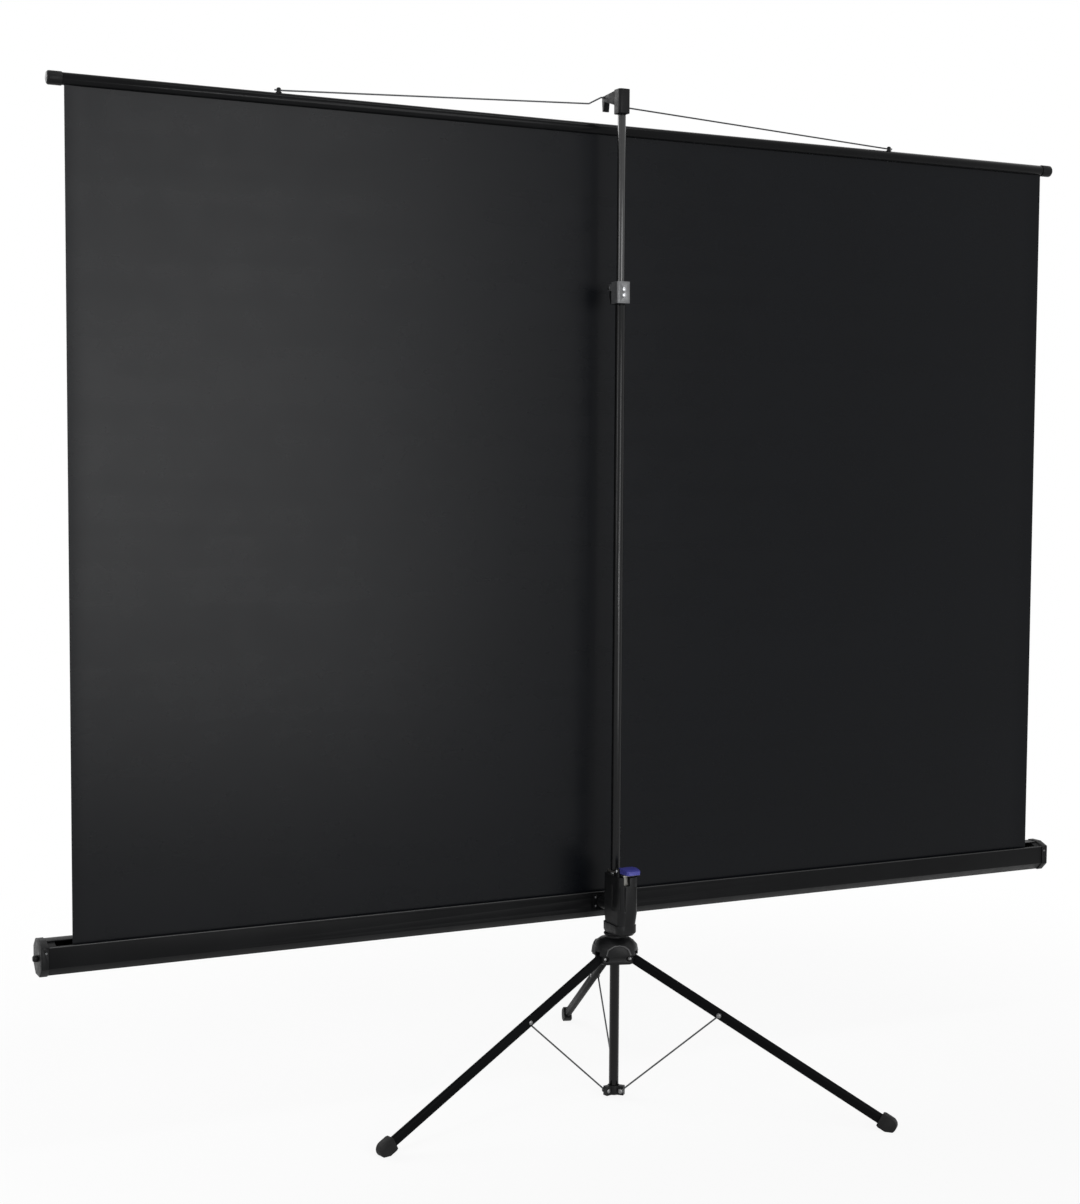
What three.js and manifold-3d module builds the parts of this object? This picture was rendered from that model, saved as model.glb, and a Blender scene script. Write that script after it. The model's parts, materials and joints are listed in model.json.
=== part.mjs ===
// Tripod projection screen, seen in use: legs spread, screen drawn up and hooked on its mast.
// Millimetres. +X runs along the case, +Y is the way the screen faces, +Z is up, the floor is z = 0.
// Everything is first placed about the mast's axis, and the finished group is centred on its floor plan.
import * as THREE from "three";
import { mergeVertices } from "three/addons/utils/BufferGeometryUtils.js";
import Module from "manifold-3d";

const wasm = await Module();
wasm.setup();

// Clearances
const GAP = 0.3;            // between pieces that touch
const RUNNING = 0.5;        // on each side of pieces that slide or turn
const PAST = 5;             // cutting tool past what it cuts
const ROUND = 20;           // sides of a round tube
const PIN_SIDES = 8;
const EYE_SIDES = 16;
const HUB_SIDES = 24;
const CURVE_STEPS = 4;      // steps of a quarter turn in a lathe profile

// Tripod
const TRIPOD_TURN = THREE.MathUtils.degToRad(17.5);   // front leg from the screen's facing direction
const LEG_COUNT = 3;
const LEG_SLOPE = THREE.MathUtils.degToRad(27.85);     // below level, legs spread
const LEG_LENGTH = 572;     // pivot to the centre of the foot's round end
const LEG_TALL = 20;
const LEG_WIDE = 12;
const LEG_WALL = 1.4;
const LEG_HEEL = 8;         // tube past its pivot
const FOOT_RADIUS = 14;
const FOOT_WIDE = 17;       // across the leg
const FOOT_SLEEVE = 20;     // rubber on the tube
const FOOT_LEAD = 4;        // tapered start of the sleeve
const FOOT_LEAD_DROP = 2;
const FOOT_FLAT = 2;        // worn flat on the floor
const PIN_RADIUS = 2.5;
const PIN_HEAD_RADIUS = 4.4;
const PIN_HEAD = 1.8;
const HUB_RADIUS = 45;
const HUB_PIVOT_RADIUS = 34.5;
const HUB_CHEEK = 6.5;      // material each side of a leg
const HUB_ABOVE_PIVOT = 42;
const HUB_SHOULDER = 38;    // top of the dome above the pivots
const HUB_RIM = 3;          // chamfer of the lower edge
const HUB_BELOW_PIVOT = 11;
const HUB_NECK_RADIUS = 19;
const HUB_SKIRT = 9;       // straight side above the pivots
const HUB_STEP = 6;         // height of the dome's lower edge above the pivots
const HUB_STEP_IN = 3;      // body below it drawn in
const HUB_FLAT = 38;        // mast axis to the dome's flat between two legs
const HUB_LOWER_FLAT = 31;  // the same below the dome's edge
const STAY_AT = 202;        // pivot to the stay's rivet, along the leg
const STAY_FLAT = 3.4;      // thickness of the rod and its flattened eyes
const STAY_EYE = 5.2;       // radius
const COLLAR_RADIUS = 12.6;
const COLLAR_TALL = 18;
const COLLAR_PIVOT_RADIUS = 17;
const COLLAR_EAR = 11;      // thickness
const COLLAR_EAR_REACH = 4.4;   // ear past the stay's pivot
const COLLAR_PIVOT_HEIGHT = 15;
const COLLAR_EDGE = 1.5;    // chamfer

// Mast
const COLUMN_RADIUS = 9.5;
const COLUMN_WALL = 1.2;
const COLUMN_TOP = 1544;
const COLUMN_FOOT = 8;      // height of the tube's lower end
const EXTENSION_RADIUS = 7.7;
const EXTENSION_WALL = 1;
const EXTENSION_INSIDE = 480;  // length kept in the column
const EXTENSION_TOP = 1908;
const HEAD_GRIP = 16;       // extension inside the head
const HEAD_TALL = 45;
const HEAD_WIDE = 24;
const HEAD_DEEP = 26;
const HEAD_CORNER = 6;      // radius
const ARM_WIDE = 12;
const ARM_X = -6;           // hook's middle from the mast axis
const ARM_REACH = 57;       // mast axis to the hook's tip
const ARM_ROOT_TALL = 28;
const ARM_TIP_TALL = 11;
const ARM_EDGE = 2;         // chamfer
const ARM_OVERLAP = 4;      // arm inside the head block
const SADDLE_BELOW_TOP = 8;
const SADDLE_REACH = 50;    // mast axis to the wire's seat
const PRONG_DROP = 18;
const PRONG_DEEP = 6;
const PRONG_FLARE = 3;
const LOCK_TALL = 41;
const LOCK_WIDE = 28;
const LOCK_BACK = 15;       // mast axis to the housing's rear face
const LOCK_FRONT = 13;      // mast axis to the housing's front face
const LOCK_RIVET_SPACING = 11;
const LOCK_LEVER_REACH = 30;
const LOCK_CORNER = 4;      // radius
const LOCK_BELOW_TOP = 8;   // housing below the column's end
const LOCK_EAR = 4;         // ear past the lever's axis
const LOCK_EAR_HALF = 6;
const LOCK_CHEEK = 4;       // material each side of the lever
const LEVER_AXIS_OUT = 6;   // lever's axis in front of the housing
const LEVER_AXIS_DOWN = 10; // lever's axis below the housing's top
const LOCK_LEVER_BOSS = 5;  // radius
const LOCK_LEVER_TIP = 4;   // radius
const LOCK_LEVER_SWELL = 2;
const RIVET_DEPTH = 4;

// Carriage
const RING_TALL = 5;
const RING_RADIUS = 22;
const RING_EDGE = 1.5;      // chamfer
const CARRIAGE_TALL = 116;
const CARRIAGE_WIDE = 42;
const CARRIAGE_BACK = 60;   // mast axis to the grip's rear
const CARRIAGE_FRONT = 14;
const CARRIAGE_REAR_CORNER = 15;    // radius
const CARRIAGE_FRONT_CORNER = 12;   // radius
const CARRIAGE_TAPER = 26;  // height of the drawn-in part
const CARRIAGE_DRAWN_IN = 0.92;
const FLANGE_TALL = 21;     // foot of the grip
const FLANGE_PROUD = 1;     // past the grip's sides and front
const FLANGE_BACK = 55;     // mast axis to the flange's rear
const FLANGE_EDGE = 7;      // height of its drawn-in lower edge
const FLANGE_DRAWN_IN = 0.86;
const GROOVE_RADIUS = 1.7;
const GROOVE_SIDE = 26;     // groove on each side, behind the mast axis
const GROOVE_TURNS = [30, 71].map(THREE.MathUtils.degToRad);   // grooves round each rear corner
const GROOVE_BELOW = 4;     // grip left under the grooves
const GROOVE_ABOVE = 18;    // grip left over the grooves
const BRAKE_PLATE = 2.5;
const BRAKE_BACK = 56;
const BRAKE_FRONT = 14;
const BRAKE_WIDE = 26;
const BRAKE_CORNER = 4;     // radius
const BRAKE_LIFT = 2;       // plate above the grip
const TONGUE_LEFT = -12;    // plate's bent tongue, from the mast's middle plane
const TONGUE_WIDE = 10;
const TONGUE_BACK = 55.5;
const TONGUE_DROP = 15;     // below the grip's top
const TONGUE_ROOM = 1;      // around the tongue
const BRAKE_SPRING_GAP = 0.4;
const BRAKE_SPRING_WALL = 1.6;
const BRAKE_SPRING_SEAT = 8;    // below the grip's top
const LEVER_WIDE = 30;
const LEVER_REACH = 76;     // mast axis to the lever's rear edge
const LEVER_THICK = 9;
const LEVER_LIFT = 7;       // lever above the grip
const LEVER_PIVOT = 40;     // lever's pivot behind the mast axis
const LEVER_POST = 4;       // thickness of the posts that hold its pin
const LEVER_POST_HALF = 5;
const LEVER_POST_ROOT = 12; // post inside the grip
const LEVER_NOSE = 5;       // lever in front of its pivot
const LEVER_CROWN = 4;      // control point of its curved top
const LEVER_LIP = 5;        // rounded rear edge
const LEVER_EDGE = 1;       // chamfer
const LEVER_CORNER = 9;     // radius of its rear corners
const LEVER_PIN_RADIUS = 2;
const LEVER_PIN_HEAD = 1.4;

// Case and roller
const CASE_OFFSET_X = 17;   // case centre from the mast, along the case
const CASE_Y = 90;          // case axis in front of the mast axis
const CASE_ABOVE_GRIP = 44; // case axis above the grip's foot
const CASE_LENGTH = 2190;   // shell without its caps
const CASE_DEEP = 60;
const CASE_TALL = 60;
const CASE_CHAMFER = 15;
const CASE_ROOF = 20;       // depth of the sloping part of the top
const CASE_ROOF_DROP = 8;
const CASE_WALL = 1.6;
const SLOT_BEHIND = 5;      // slot behind the cloth
const SLOT_AHEAD = 10.5;    // slot in front of the cloth
const CAP_LENGTH = 13.5;
const CAP_LIP = 1.4;        // cap proud of the shell
const CAP_PLUG = 14;        // cap inside the shell
const CAP_OVERLAP = 2;      // plug into its cover
const CAP_SCREW_IN = 8.8;   // cap's screw from its outer face
const CAP_SCREW_UP = 13;    // cap's screw above the case's axis
const CAP_SCREW_DEPTH = 7;
const ROLLER_OFFSET = -6;   // roller's axis in front of the case's axis
const ROLLER_RADIUS = 12.5;
const ROLLER_WALL = 1.2;
const ROLLER_SHAKE = 4;     // roller's end from the cap
const ROLL_RADIUS = 13.4;   // fabric left on the roller
const ROLL_OVERHANG = 2;    // past each edge of the fabric
const AXLE_RADIUS = 3.5;
const KNOB_RADIUS = 6;
const KNOB_PROUD = 9.5;
const KNOB_EDGE = 2;
const PLUG_LENGTH = 30;
const SPRING_LENGTH = 300;
const SPRING_RADIUS = 8;
const SPRING_WALL = 2;
const BRACKET_RISE = 4;     // bracket's middle above the case's axis
const BRACKET_WIDE = 36;
const BRACKET_TALL = 30;
const BRACKET_THICK = 2.5;
const BRACKET_HAT = 5;      // room for the bolt's head
const BRACKET_SCREW_X = 12;
const BRACKET_SCREW_Z = 8.6;
const WEB_HALF = 6;         // half width of the bracket's raised web
const BOLT_RADIUS = 3;
const BOLT_HEAD = 2;        // head past the shank, and its thickness
const BOLT_SEAT = 1;        // shank's end from the column
const BOSS_RADIUS = 12;
const SCREW_RADIUS = 1.4;
const SCREW_HEAD = 2.3;     // radius
const SCREW_HEAD_TALL = 1.4;

// Screen
const BAR_BELOW_HEAD = 19;
const BAR_RADIUS = 10.7;
const BAR_WALL = 1.2;
const BAR_OVERHANG = 3;     // past each edge of the fabric
const BAR_CAP_RADIUS = 12;
const BAR_CAP_LENGTH = 26;
const BAR_CAP_PLUG = 20;
const BAR_CAP_EDGE = 3;
const FABRIC_INSET = 42;    // fabric's edge from the end of the shell
const FABRIC_THICK = 0.7;
const FABRIC_CURL = 3;      // side edges lean to the rear
const FABRIC_CURL_WIDE = 40;
const BAIL_X = 7.5;         // bail's middle from the mast axis
const EYELET_X = 663;       // eyelets from the bail's middle
const EYELET_RADIUS = 4;
const EYELET_TALL = 9;
const EYELET_EDGE = 1.5;
const EYELET_FLANGE = 1.2;  // thickness
const WIRE_RADIUS = 1.6;
const BAIL_HUMP_WIDE = 24;
const BAIL_HUMP_TALL = 14;
const BAIL_KINK_WIDE = 70;

// Heights and places that follow from the sizes above
const PIVOT_Z = FOOT_RADIUS - FOOT_FLAT + LEG_LENGTH * Math.sin(LEG_SLOPE);
const HUB_TOP = PIVOT_Z + HUB_ABOVE_PIVOT;
const RING_Z = HUB_TOP + GAP;
const CARRIAGE_Z = RING_Z + RING_TALL + GAP;
const CARRIAGE_TOP = CARRIAGE_Z + CARRIAGE_TALL;
const BRAKE_Z = CARRIAGE_TOP + BRAKE_LIFT;
const LEVER_Z = CARRIAGE_TOP + LEVER_LIFT;
const CASE_Z = CARRIAGE_Z + CASE_ABOVE_GRIP;
const BRACKET_Z = CASE_Z + BRACKET_RISE;
const COLUMN_BORE = COLUMN_RADIUS + RUNNING;
const STAY_ASIDE = LEG_WIDE / 2 + GAP + STAY_FLAT / 2;   // stays lie on one side of their legs
const LOCK_Z = COLUMN_TOP - LOCK_BELOW_TOP;
const ROLLER_Y = CASE_Y + ROLLER_OFFSET;
const FABRIC_Y = ROLLER_Y - ROLL_RADIUS - GAP - FABRIC_THICK / 2;
const SLOT_Y = FABRIC_Y - FABRIC_CURL / 2;
const CASE_BACK = CASE_Y - CASE_DEEP / 2;
const HEAD_BOTTOM = EXTENSION_TOP - HEAD_GRIP;
const BAR_Z = HEAD_BOTTOM - BAR_BELOW_HEAD;
const FABRIC_WIDE = CASE_LENGTH - 2 * FABRIC_INSET;
const BAR_LENGTH = FABRIC_WIDE + 2 * BAR_OVERHANG;
const ROLL_LENGTH = FABRIC_WIDE + 2 * ROLL_OVERHANG;
const EYELET_Z = BAR_Z + BAR_RADIUS + GAP;
const BAIL_AXIS_Z = EYELET_Z + EYELET_TALL / 2;
const SADDLE_Z = HEAD_BOTTOM + HEAD_TALL - SADDLE_BELOW_TOP;

// Solids
function merged(geometry) {
  const bare = geometry.clone();
  for (const name of Object.keys(bare.attributes)) {
    if (name !== "position") bare.deleteAttribute(name);
  }
  const joined = mergeVertices(bare, 1e-4);
  const corners = joined.index.array;
  const kept = [];
  for (let i = 0; i < corners.length; i += 3) {
    const [a, b, c] = corners.slice(i, i + 3);
    if (a !== b && b !== c && c !== a) kept.push(a, b, c);
  }
  joined.setIndex(kept);
  return joined;
}

function toSolid(geometry) {
  const closed = merged(geometry);
  const vertProperties = new Float32Array(closed.attributes.position.array);
  const triVerts = new Uint32Array(closed.index.array);
  return new wasm.Manifold(new wasm.Mesh({ numProp: 3, vertProperties, triVerts }));
}

function toGeometry(solid) {
  const mesh = solid.getMesh();
  const geometry = new THREE.BufferGeometry();
  geometry.setAttribute("position", new THREE.BufferAttribute(new Float32Array(mesh.vertProperties), 3));
  geometry.setIndex(new THREE.BufferAttribute(new Uint32Array(mesh.triVerts), 1));
  return geometry;
}

function cut(geometry, ...tools) {
  return toGeometry(tools.reduce((solid, tool) => solid.subtract(toSolid(tool)), toSolid(geometry)));
}

function common(geometry, other) {
  return toGeometry(toSolid(geometry).intersect(toSolid(other)));
}

function join(geometry, ...others) {
  return toGeometry(others.reduce((solid, other) => solid.add(toSolid(other)), toSolid(geometry)));
}

function box(x0, x1, y0, y1, z0, z1) {
  const geometry = new THREE.BoxGeometry(x1 - x0, y1 - y0, z1 - z0);
  return geometry.translate((x0 + x1) / 2, (y0 + y1) / 2, (z0 + z1) / 2);
}

// A turned shape about +Z; the profile is [radius, height] points, counter-clockwise when it is a ring
function turned(profile, sides = ROUND) {
  const points = profile.map(([r, z]) => new THREE.Vector2(r, z));
  return new THREE.LatheGeometry(points, sides).rotateX(Math.PI / 2);
}

function rod(radius, from, to, sides = ROUND) {
  return turned([[0, from], [radius, from], [radius, to], [0, to]], sides);
}

function tube(outer, inner, from, to, sides = ROUND) {
  return turned([[inner, from], [outer, from], [outer, to], [inner, to], [inner, from]], sides);
}

function alongX(geometry) {
  return geometry.rotateY(Math.PI / 2);
}

function alongY(geometry) {
  return geometry.rotateX(-Math.PI / 2);
}

// A headed pin along +Z: a shank with a domed head past each end
function rivet(shank, head, headTall, from, to) {
  return turned([
    [0, from - headTall], [head * 0.6, from - headTall], [head, from - headTall * 0.3], [head, from],
    [shank, from], [shank, to], [head, to], [head, to + headTall * 0.3], [head * 0.6, to + headTall],
    [0, to + headTall],
  ], PIN_SIDES);
}

// A screw along +Z with its head up, seated at z = 0
function screw(shank, head, headTall, depth) {
  return turned([
    [0, -depth], [shank, -depth], [shank, 0], [head, 0], [head, headTall * 0.4], [head * 0.65, headTall],
    [0, headTall],
  ], PIN_SIDES);
}

function polygon(points) {
  return new THREE.Shape(points.map(([a, b]) => new THREE.Vector2(a, b)));
}

function prism(shape, depth, curveSegments = 6) {
  return new THREE.ExtrudeGeometry(shape, { depth, bevelEnabled: false, curveSegments });
}

// A prism whose lower end is drawn in towards its axis
function drawnIn(shape, depth, scale) {
  const geometry = prism(shape, depth);
  const corners = geometry.attributes.position;
  for (let i = 0; i < corners.count; i += 1) {
    if (corners.getZ(i) < depth / 2) corners.setXY(i, corners.getX(i) * scale, corners.getY(i) * scale);
  }
  return geometry;
}

// A convex outline, counter-clockwise, with every side moved inwards
function shrunk(points, inset) {
  const sides = points.map(([a, b], i) => {
    const [c, d] = points[(i + 1) % points.length];
    const length = Math.hypot(c - a, d - b);
    const normal = [(b - d) / length, (c - a) / length];
    return { normal, reach: normal[0] * a + normal[1] * b + inset };
  });
  return sides.map((next, i) => {
    const last = sides[(i + sides.length - 1) % sides.length];
    const cross = last.normal[0] * next.normal[1] - last.normal[1] * next.normal[0];
    return [
      (last.reach * next.normal[1] - next.reach * last.normal[1]) / cross,
      (next.reach * last.normal[0] - last.reach * next.normal[0]) / cross,
    ];
  });
}

const X = new THREE.Vector3(1, 0, 0);
const Y = new THREE.Vector3(0, 1, 0);
const Z = new THREE.Vector3(0, 0, 1);

// Prism of a (y, z) shape, centred along X
function prismX(shape, length, curveSegments = 6) {
  const turn = new THREE.Matrix4().makeBasis(Y, Z, X);
  return prism(shape, length, curveSegments).translate(0, 0, -length / 2).applyMatrix4(turn);
}

function stadium(wide, tall) {
  const shape = new THREE.Shape();
  const reach = (tall - wide) / 2;
  shape.absarc(0, reach, wide / 2, 0, Math.PI, false);
  shape.absarc(0, -reach, wide / 2, Math.PI, 2 * Math.PI, false);
  shape.closePath();
  return shape;
}

// The corners at y0 and at y1 may have different radii
function roundedRectangle(x0, x1, y0, y1, rear, front = rear) {
  const shape = new THREE.Shape();
  shape.absarc(x1 - rear, y0 + rear, rear, -Math.PI / 2, 0, false);
  shape.absarc(x1 - front, y1 - front, front, 0, Math.PI / 2, false);
  shape.absarc(x0 + front, y1 - front, front, Math.PI / 2, Math.PI, false);
  shape.absarc(x0 + rear, y0 + rear, rear, Math.PI, Math.PI * 1.5, false);
  shape.closePath();
  return shape;
}

// Round wire along points in one plane, with mitred corners; normal is the plane's normal
function wire(points, radius, sides, normal) {
  const rings = points.map((point, i) => {
    const before = i > 0 ? point.clone().sub(points[i - 1]).normalize() : null;
    const after = i < points.length - 1 ? points[i + 1].clone().sub(point).normalize() : null;
    const along = (before ?? after).clone().add(after ?? before).normalize();
    const stretch = 1 / along.dot(after ?? before);
    const across = new THREE.Vector3().crossVectors(along, normal);
    return Array.from({ length: sides }, (_, k) => {
      const angle = (2 * Math.PI * k) / sides;
      return point.clone()
        .addScaledVector(normal, radius * Math.cos(angle))
        .addScaledVector(across, radius * stretch * Math.sin(angle));
    });
  });
  const corners = [];
  for (let i = 0; i < rings.length - 1; i += 1) {
    for (let k = 0; k < sides; k += 1) {
      const next = (k + 1) % sides;
      corners.push(rings[i][k], rings[i][next], rings[i + 1][next]);
      corners.push(rings[i][k], rings[i + 1][next], rings[i + 1][k]);
    }
  }
  const first = rings[0];
  const last = rings[rings.length - 1];
  for (let k = 1; k < sides - 1; k += 1) {
    corners.push(first[0], first[k + 1], first[k]);
    corners.push(last[0], last[k], last[k + 1]);
  }
  return new THREE.BufferGeometry().setFromPoints(corners);
}

// Finishes
const FINISHES = {
  black_paint: { color: 0x17181a, roughness: 0.38, metalness: 0.3 },
  black_plastic: { color: 0x1b1c1e, roughness: 0.5, metalness: 0 },
  rubber: { color: 0x141414, roughness: 0.85, metalness: 0 },
  zinc: { color: 0xa8aaac, roughness: 0.3, metalness: 1 },
  lock_metal: { color: 0x6a6c6e, roughness: 0.42, metalness: 0.8 },
  wire: { color: 0x55575a, roughness: 0.4, metalness: 0.9 },
  blue_plastic: { color: 0x3f4596, roughness: 0.45, metalness: 0 },
  fabric_black: { color: 0x26282b, roughness: 0.8, metalness: 0 },
};

function place(group, name, geometry, finish) {
  const mesh = new THREE.Mesh(merged(geometry), new THREE.MeshStandardMaterial(FINISHES[finish]));
  mesh.name = name;
  group.add(mesh);
  return mesh;
}

const assembly = new THREE.Group();

// Tripod: hub, legs, stays and foot collar
const LEG_NAMES = ["front", "right", "left"];
const PIN_SEAT = LEG_WIDE / 2 + HUB_CHEEK;
const SLOT_SWEEP = Math.hypot(LEG_HEEL, LEG_TALL / 2) + 2 * RUNNING;
const STAY_TOP_R = HUB_PIVOT_RADIUS + STAY_AT * Math.cos(LEG_SLOPE);
const STAY_TOP_Z = PIVOT_Z - STAY_AT * Math.sin(LEG_SLOPE);
const STAY_RUN = STAY_TOP_R - COLLAR_PIVOT_RADIUS;
const STAY_DROP = STAY_TOP_Z - COLLAR_PIVOT_HEIGHT;
const STAY_LENGTH = Math.hypot(STAY_RUN, STAY_DROP);

function legTurn(index) {
  return Math.PI / 2 - TRIPOD_TURN - (2 * Math.PI * index) / LEG_COUNT;
}

// Points of a quarter circle of radius 1, from [1, 0] to [0, 1]
function quarterTurn() {
  return Array.from({ length: CURVE_STEPS + 1 }, (_, i) => {
    const angle = (i / CURVE_STEPS) * (Math.PI / 2);
    return i === CURVE_STEPS ? [0, 1] : [Math.cos(angle), Math.sin(angle)];
  });
}

function makeHub() {
  const dome = quarterTurn().map(([across, up]) => [
    HUB_NECK_RADIUS + (HUB_RADIUS - HUB_NECK_RADIUS) * across, HUB_SKIRT + (HUB_SHOULDER - HUB_SKIRT) * up,
  ]);
  const lower = HUB_RADIUS - HUB_STEP_IN;
  const blank = turned([
    [COLUMN_BORE, -HUB_BELOW_PIVOT], [lower - HUB_RIM, -HUB_BELOW_PIVOT], [lower, HUB_RIM - HUB_BELOW_PIVOT],
    [lower, HUB_STEP], [HUB_RADIUS, HUB_STEP], ...dome, [HUB_NECK_RADIUS, HUB_ABOVE_PIVOT],
    [COLUMN_BORE, HUB_ABOVE_PIVOT], [COLUMN_BORE, -HUB_BELOW_PIVOT],
  ], HUB_SIDES);
  const reach = HUB_RADIUS + PAST;
  const tools = [];
  for (let i = 0; i < LEG_COUNT; i += 1) {
    const halfSlot = LEG_WIDE / 2 + RUNNING;
    const slot = box(HUB_PIVOT_RADIUS - SLOT_SWEEP, reach, -halfSlot, halfSlot, -reach, SLOT_SWEEP);
    const flat = box(-reach, -HUB_FLAT, -reach, reach, HUB_STEP, HUB_SHOULDER);
    const lowerFlat = box(-reach, -HUB_LOWER_FLAT, -reach, reach, -reach, HUB_STEP);
    const hole = alongY(rod(PIN_RADIUS + GAP, -PIN_SEAT - PAST, PIN_SEAT + PAST, PIN_SIDES))
      .translate(HUB_PIVOT_RADIUS, 0, 0);
    const recesses = [[PIN_SEAT, reach], [-reach, -PIN_SEAT]].map(([from, to]) =>
      alongY(rod(PIN_HEAD_RADIUS + RUNNING, from, to, EYE_SIDES)).translate(HUB_PIVOT_RADIUS, 0, 0));
    for (const tool of [slot, flat, lowerFlat, hole, ...recesses]) tools.push(tool.rotateZ(legTurn(i)));
  }
  return cut(blank, ...tools);
}

function makeLeg() {
  const section = stadium(LEG_WIDE, LEG_TALL);
  section.holes.push(stadium(LEG_WIDE - 2 * LEG_WALL, LEG_TALL - 2 * LEG_WALL));
  const length = LEG_LENGTH + LEG_HEEL;
  const bar = prismX(section, length, 5).translate(length / 2 - LEG_HEEL, 0, 0);
  const hole = alongY(rod(PIN_RADIUS + GAP, -LEG_WIDE, LEG_WIDE, PIN_SIDES));
  return cut(bar, hole, hole.clone().translate(STAY_AT, 0, 0));
}

// A flat boot, rounded in the leg's plane
function makeFoot() {
  const neck = FOOT_RADIUS - FOOT_LEAD_DROP;
  const outline = new THREE.Shape();
  outline.moveTo(-FOOT_SLEEVE, -neck);
  outline.lineTo(FOOT_LEAD - FOOT_SLEEVE, -FOOT_RADIUS);
  outline.absarc(0, 0, FOOT_RADIUS, -Math.PI / 2, Math.PI / 2, false);
  outline.lineTo(FOOT_LEAD - FOOT_SLEEVE, FOOT_RADIUS);
  outline.lineTo(-FOOT_SLEEVE, neck);
  outline.closePath();
  const upright = new THREE.Matrix4().makeBasis(X, Z, Y.clone().negate());
  const cap = prism(outline, FOOT_WIDE).translate(0, 0, -FOOT_WIDE / 2).applyMatrix4(upright);
  const pocket = prismX(stadium(LEG_WIDE + 2 * GAP, LEG_TALL + 2 * GAP), 2 * FOOT_SLEEVE, 5);
  pocket.translate(GAP - FOOT_SLEEVE, 0, 0);
  const reach = LEG_LENGTH;
  const floor = box(0, 2 * reach, -reach, reach, -2 * reach, -PIVOT_Z).rotateY(-LEG_SLOPE);
  return cut(cut(cap, pocket).translate(LEG_LENGTH, 0, 0), floor);
}

function makeStay() {
  const eyeAt = (x) => alongY(rod(STAY_EYE, -STAY_FLAT / 2, STAY_FLAT / 2, EYE_SIDES)).translate(x, 0, 0);
  const holeAt = (x) => alongY(rod(PIN_RADIUS + GAP, -STAY_FLAT, STAY_FLAT, PIN_SIDES)).translate(x, 0, 0);
  const shaft = alongX(rod(STAY_FLAT / 2, STAY_EYE / 2, STAY_LENGTH - STAY_EYE / 2, PIN_SIDES));
  return cut(join(shaft, eyeAt(0), eyeAt(STAY_LENGTH)), holeAt(0), holeAt(STAY_LENGTH));
}

const STAY_INSIDE = STAY_ASIDE - STAY_FLAT / 2 - GAP;    // face of the leg and of the collar's ear
const STAY_OUTSIDE = STAY_ASIDE + STAY_FLAT / 2 + GAP;
const EAR_END = COLLAR_EAR - STAY_INSIDE;

function makeCollar() {
  const half = COLLAR_TALL / 2;
  const ring = turned([
    [COLUMN_BORE, -half], [COLLAR_RADIUS - COLLAR_EDGE, -half], [COLLAR_RADIUS, COLLAR_EDGE - half],
    [COLLAR_RADIUS, half - COLLAR_EDGE], [COLLAR_RADIUS - COLLAR_EDGE, half], [COLUMN_BORE, half],
    [COLUMN_BORE, -half],
  ]);
  const ears = [];
  const holes = [];
  for (let i = 0; i < LEG_COUNT; i += 1) {
    const ear = box(COLUMN_BORE, COLLAR_PIVOT_RADIUS + COLLAR_EAR_REACH, -STAY_INSIDE, EAR_END, -half, half);
    const hole = alongY(rod(PIN_RADIUS + GAP, -STAY_INSIDE - GAP, EAR_END + GAP, PIN_SIDES));
    ears.push(ear.rotateZ(legTurn(i)));
    holes.push(hole.translate(COLLAR_PIVOT_RADIUS, 0, 0).rotateZ(legTurn(i)));
  }
  const bore = rod(COLUMN_BORE, -COLLAR_TALL, COLLAR_TALL);
  return cut(join(ring, ...ears), bore, ...holes);
}

const hubGroup = new THREE.Group();
hubGroup.position.z = PIVOT_Z;
assembly.add(hubGroup);
place(hubGroup, "hub", makeHub(), "black_plastic");

const collarGroup = new THREE.Group();
collarGroup.position.z = COLLAR_PIVOT_HEIGHT;
assembly.add(collarGroup);
place(collarGroup, "foot_collar", makeCollar(), "black_plastic");

LEG_NAMES.forEach((side, i) => {
  const radial = new THREE.Group();
  radial.rotation.z = legTurn(i);
  assembly.add(radial);

  const leg = new THREE.Group();
  leg.position.set(HUB_PIVOT_RADIUS, 0, PIVOT_Z);
  leg.rotation.y = LEG_SLOPE;
  radial.add(leg);
  place(leg, `leg_${side}`, makeLeg(), "black_paint");
  place(leg, `foot_${side}`, makeFoot(), "rubber");
  place(leg, `leg_pin_${side}`,
    alongY(rivet(PIN_RADIUS, PIN_HEAD_RADIUS, PIN_HEAD, -PIN_SEAT - GAP, PIN_SEAT + GAP)), "zinc");
  place(leg, `stay_rivet_${side}`,
    alongY(rivet(PIN_RADIUS, PIN_HEAD_RADIUS, PIN_HEAD, -STAY_OUTSIDE, LEG_WIDE / 2 + GAP))
      .translate(STAY_AT, 0, 0), "zinc");

  const stay = new THREE.Group();
  stay.position.set(STAY_TOP_R, -STAY_ASIDE, STAY_TOP_Z);
  stay.rotation.y = Math.PI - Math.atan2(STAY_DROP, STAY_RUN);
  radial.add(stay);
  place(stay, `stay_${side}`, makeStay(), "zinc");

  place(radial, `collar_pin_${side}`,
    alongY(rivet(PIN_RADIUS, PIN_HEAD_RADIUS, PIN_HEAD, -STAY_OUTSIDE, EAR_END + GAP))
      .translate(COLLAR_PIVOT_RADIUS, 0, COLLAR_PIVOT_HEIGHT), "zinc");
});

// Mast: column, lock, extension and hooked head
const COLUMN_INNER = COLUMN_RADIUS - COLUMN_WALL;
const EXTENSION_INNER = EXTENSION_RADIUS - EXTENSION_WALL;
const EXTENSION_FOOT = COLUMN_TOP - EXTENSION_INSIDE;
place(assembly, "column_tube", tube(COLUMN_RADIUS, COLUMN_INNER, COLUMN_FOOT, COLUMN_TOP), "black_paint");
place(assembly, "extension_tube",
  tube(EXTENSION_RADIUS, EXTENSION_INNER, EXTENSION_FOOT, EXTENSION_TOP), "black_paint");

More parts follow.
